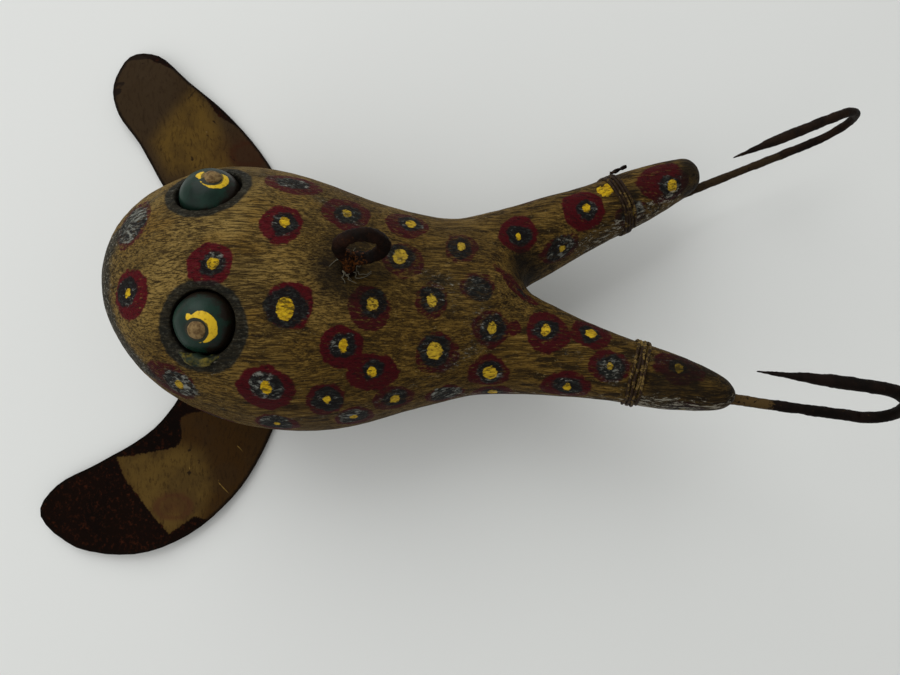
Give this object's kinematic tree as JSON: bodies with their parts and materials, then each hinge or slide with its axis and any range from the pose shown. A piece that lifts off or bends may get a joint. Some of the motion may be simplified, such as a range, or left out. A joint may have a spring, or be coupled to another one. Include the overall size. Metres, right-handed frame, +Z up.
{
  "type": "frog fishing decoy",
  "caption": "Carved and painted wooden frog decoy with ball eyes, wire line tie, two tin front fins and a barbed hook lashed under each hind leg.",
  "frame": {"origin": "middle of the whole part's length and width, on the surface that the planed belly rests on", "axes": "+X from the nose to the hooks, +Y to the frog's right side, +Z up"},
  "size_m": [0.2527, 0.1665, 0.0689],
  "materials": {
    "painted_wood": "worn tan paint brushed in streaks over dark brown, with painted spots of maroon, slate grey and yellow",
    "lead": "dull grey oxidised cast metal",
    "eye_paint": "dark green enamel with a yellow crescent",
    "peg_wood": "bare whittled end grain",
    "putty": "hardened filler with old paint",
    "rusted_wire": "dark pitted rust",
    "left_tin": "old yellow lacquer on tin, mostly rusted dark brown",
    "right_tin": "old yellow lacquer on tin, rusted brown with a grey sheen",
    "nail": "rusted",
    "hook_steel": "forged, blackened and rusted",
    "lashing": "wire painted over with the body's brown paint"
  },
  "bodies": {
    "frog": {"body": "painted_wood", "belly_weight": "lead", "left_eye_ball": "eye_paint", "right_eye_ball": "eye_paint", "left_eye_peg": "peg_wood", "right_eye_peg": "peg_wood", "left_eye_putty": "putty", "left_fin_nail": "nail", "right_fin_nail": "nail", "left_hook": "hook_steel", "right_hook": "hook_steel", "left_lashing": "lashing", "right_lashing": "lashing", "right_lashing_end": "lashing"},
    "line_tie": {"line_tie": "rusted_wire"},
    "left_fin": {"left_fin": "left_tin"},
    "right_fin": {"right_fin": "right_tin"}
  },
  "joints": [
    {"name": "line_tie_turn", "type": "hinge", "parent": "frog", "child": "line_tie", "pos_m": [-0.019, 0.00237, 0.05286], "axis": [0.172, 0.3595, 0.9172], "range_deg": [-90, 90]},
    {"name": "left_fin_swivel", "type": "hinge", "parent": "frog", "child": "left_fin", "pos_m": [-0.051, -0.009, 0.00125], "axis": [0, 0, 1], "range_deg": [-15, 15]},
    {"name": "right_fin_swivel", "type": "hinge", "parent": "frog", "child": "right_fin", "pos_m": [-0.051, 0.015, 0.00125], "axis": [0, 0, 1], "range_deg": [-15, 15]}
  ]
}
